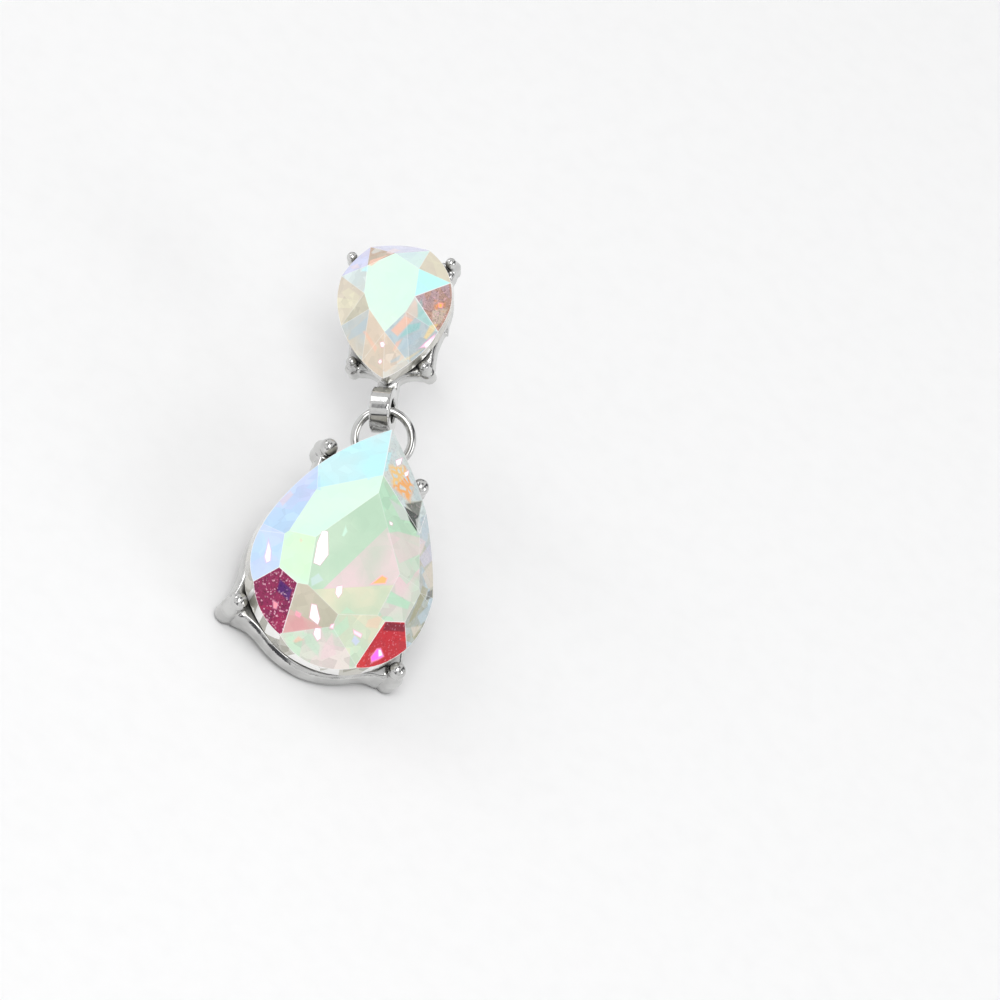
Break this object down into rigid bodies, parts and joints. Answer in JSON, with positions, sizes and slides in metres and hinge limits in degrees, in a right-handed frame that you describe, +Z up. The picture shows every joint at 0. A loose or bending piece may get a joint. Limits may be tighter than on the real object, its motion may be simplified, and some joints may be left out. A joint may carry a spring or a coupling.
{
  "type": "teardrop earring",
  "caption": "Stud drop earring: a small pear crystal above a large pear crystal, claw set in polished metal and joined by a round ring.",
  "frame": {"origin": "centre of the earring's box, on the surface it rests on", "axes": "+Z up; +Y along the earring, from the big stone's round end towards the stud; X across it"},
  "size_m": [0.0136, 0.0322, 0.0141],
  "materials": {
    "big_crystal": "faceted, with a rainbow coating and foil behind",
    "small_crystal": "faceted, with a rainbow coating and foil behind",
    "cast_metal": "plated and polished casting",
    "ring_wire": "polished wire",
    "post_steel": "drawn wire"
  },
  "bodies": {
    "root": {"drop_stone": "big_crystal", "drop_setting": "cast_metal", "jump_ring": "ring_wire", "stud_stone": "small_crystal", "stud_setting": "cast_metal", "ear_post": "post_steel"}
  },
  "joints": []
}
